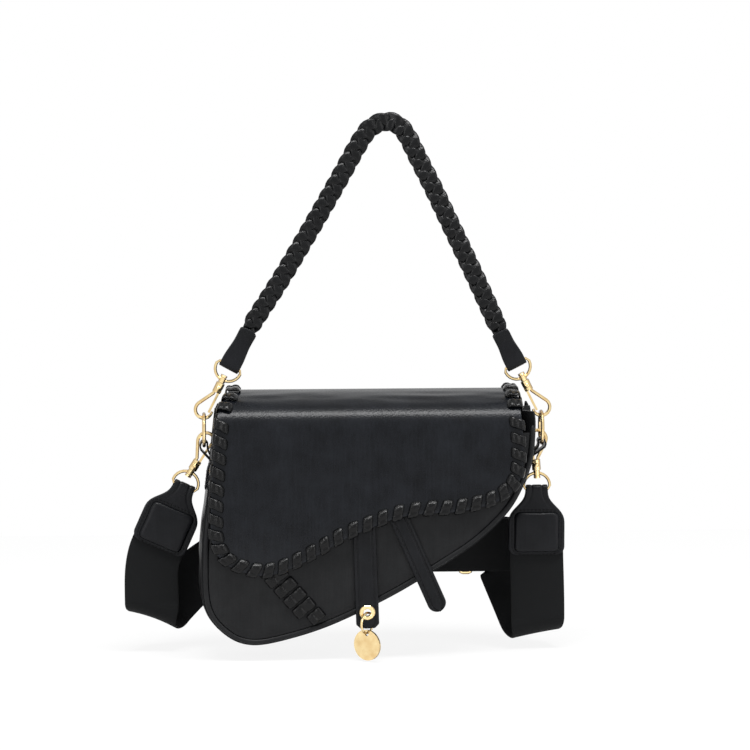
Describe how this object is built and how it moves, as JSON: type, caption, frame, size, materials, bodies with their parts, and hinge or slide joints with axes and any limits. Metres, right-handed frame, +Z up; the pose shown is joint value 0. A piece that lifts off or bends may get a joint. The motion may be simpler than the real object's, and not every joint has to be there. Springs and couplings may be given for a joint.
{
  "type": "crossbody bag",
  "caption": "Small crossbody bag with a curved laced flap, a braided grip handle on snap hooks, side rings, a wide webbing shoulder strap, two hanging straps and a disc charm.",
  "frame": {"origin": "underside of the handle's highest point, where the bag hangs from a hand or hook", "axes": "+Z up, the bag's front and flap face -Y, +X to the right as seen from the front"},
  "size_m": [0.3377, 0.0867, 0.4123],
  "materials": {
    "black_leather": "grained, satin black",
    "lace_leather": "smooth, slightly glossy black",
    "lining_cloth": "plain weave, matt",
    "webbing": "woven webbing, matt black",
    "gold_metal": "polished gold plating",
    "snap_steel": "satin"
  },
  "bodies": {
    "handle": {"handle_braid": "black_leather", "handle_tab_left": "black_leather", "handle_tab_right": "black_leather", "handle_d_ring_left": "gold_metal", "handle_d_ring_right": "gold_metal"},
    "bag": {"front_panel": "black_leather", "back_panel": "black_leather", "gusset": "black_leather", "front_piping": "black_leather", "back_piping": "black_leather", "lining": "lining_cloth", "inner_pocket": "lining_cloth", "flap_top": "black_leather", "flap_top_lacing_left": "lace_leather", "flap_top_lacing_right": "lace_leather", "front_cross_lacing": "lace_leather", "magnet_socket": "snap_steel", "charm_strap": "black_leather", "slanted_strap": "black_leather", "eyelet": "gold_metal", "side_tab_left": "black_leather", "side_tab_right": "black_leather"},
    "flap": {"flap_front": "black_leather", "flap_lining": "lining_cloth", "flap_lacing": "lace_leather", "magnet_stud": "snap_steel"},
    "charm_ring": {"charm_ring": "gold_metal"},
    "charm_disc": {"charm_disc": "gold_metal"},
    "side_ring_left": {"side_ring_left": "gold_metal"},
    "side_ring_right": {"side_ring_right": "gold_metal"},
    "strap": {"strap_tab_left": "black_leather", "strap_tab_right": "black_leather", "strap_tab_pad_left": "black_leather", "strap_tab_pad_right": "black_leather", "strap_d_ring_left": "gold_metal", "strap_d_ring_right": "gold_metal", "webbing_long": "webbing", "webbing_short": "webbing", "strap_ring": "gold_metal", "strap_slider": "gold_metal"},
    "handle_hook_left": {"handle_hook_left": "gold_metal"},
    "handle_hook_gate_left": {"handle_hook_gate_left": "gold_metal"},
    "handle_hook_right": {"handle_hook_right": "gold_metal"},
    "handle_hook_gate_right": {"handle_hook_gate_right": "gold_metal"},
    "strap_hook_left": {"strap_hook_left": "gold_metal"},
    "strap_hook_gate_left": {"strap_hook_gate_left": "gold_metal"},
    "strap_hook_right": {"strap_hook_right": "gold_metal"},
    "strap_hook_gate_right": {"strap_hook_gate_right": "gold_metal"}
  },
  "joints": [
    {"name": "bag_swing", "type": "hinge", "parent": "handle", "child": "bag", "pos_m": [-0.01092, 0, -0.2185], "axis": [1, 0, 0], "range_deg": [-15, 15]},
    {"name": "flap_hinge", "type": "hinge", "parent": "bag", "child": "flap", "pos_m": [-0.01092, -0.02864, -0.2125], "axis": [-1, 0, 0], "range_deg": [0, 150]},
    {"name": "strap_swing", "type": "hinge", "parent": "bag", "child": "strap", "pos_m": [-0.01092, 0.00822, -0.23116], "axis": [1, 0, 0], "range_deg": [0, 16]},
    {"name": "charm_ring_swing", "type": "hinge", "parent": "bag", "child": "charm_ring", "pos_m": [-0.01709, -0.03055, -0.36381], "axis": [0, 1, 0], "range_deg": [-12, 12]},
    {"name": "charm_disc_swing", "type": "hinge", "parent": "charm_ring", "child": "charm_disc", "pos_m": [-0.01709, -0.03055, -0.37981], "axis": [0.6157, 0.788, 0], "range_deg": [-8, 8]},
    {"name": "side_ring_turn_left", "type": "hinge", "parent": "bag", "child": "side_ring_left", "pos_m": [-0.13942, 0, -0.2275], "axis": [1, 0, 0], "continuous": true},
    {"name": "side_ring_turn_right", "type": "hinge", "parent": "bag", "child": "side_ring_right", "pos_m": [0.11758, 0, -0.2275], "axis": [1, 0, 0], "continuous": true},
    {"name": "handle_hook_swivel_left", "type": "hinge", "parent": "handle", "child": "handle_hook_left", "pos_m": [-0.12822, 0, -0.19521], "axis": [0.4384, 0, 0.8988], "range_deg": [-12, 12]},
    {"name": "handle_gate_left", "type": "hinge", "parent": "handle_hook_left", "child": "handle_hook_gate_left", "pos_m": [-0.12775, 0, -0.19811], "axis": [0, 1, 0], "range_deg": [0, 16], "stiffness_Nm_per_rad": 0.01, "springref_deg": -5.73},
    {"name": "handle_hook_swivel_right", "type": "hinge", "parent": "handle", "child": "handle_hook_right", "pos_m": [0.10639, 0, -0.19521], "axis": [-0.4384, 0, 0.8988], "range_deg": [-12, 12]},
    {"name": "handle_gate_right", "type": "hinge", "parent": "handle_hook_right", "child": "handle_hook_gate_right", "pos_m": [0.10591, 0, -0.19811], "axis": [0, -1, 0], "range_deg": [0, 16], "stiffness_Nm_per_rad": 0.01, "springref_deg": -5.73},
    {"name": "strap_hook_swivel_left", "type": "hinge", "parent": "strap", "child": "strap_hook_left", "pos_m": [-0.14625, 0.00822, -0.25565], "axis": [-0.5446, 0, -0.8387], "range_deg": [-14, 1]},
    {"name": "strap_gate_left", "type": "hinge", "parent": "strap_hook_left", "child": "strap_hook_gate_left", "pos_m": [-0.14351, 0.00822, -0.25456], "axis": [0, -1, 0], "range_deg": [0, 8], "stiffness_Nm_per_rad": 0.01, "springref_deg": -5.73},
    {"name": "strap_hook_swivel_right", "type": "hinge", "parent": "strap", "child": "strap_hook_right", "pos_m": [0.1147, 0.00822, -0.25756], "axis": [0.0802, 0, -0.9968], "range_deg": [-2, 8]},
    {"name": "strap_gate_right", "type": "hinge", "parent": "strap_hook_right", "child": "strap_hook_gate_right", "pos_m": [0.11281, 0.00822, -0.2553], "axis": [0, 1, 0], "range_deg": [0, 8], "stiffness_Nm_per_rad": 0.01, "springref_deg": -5.73}
  ]
}
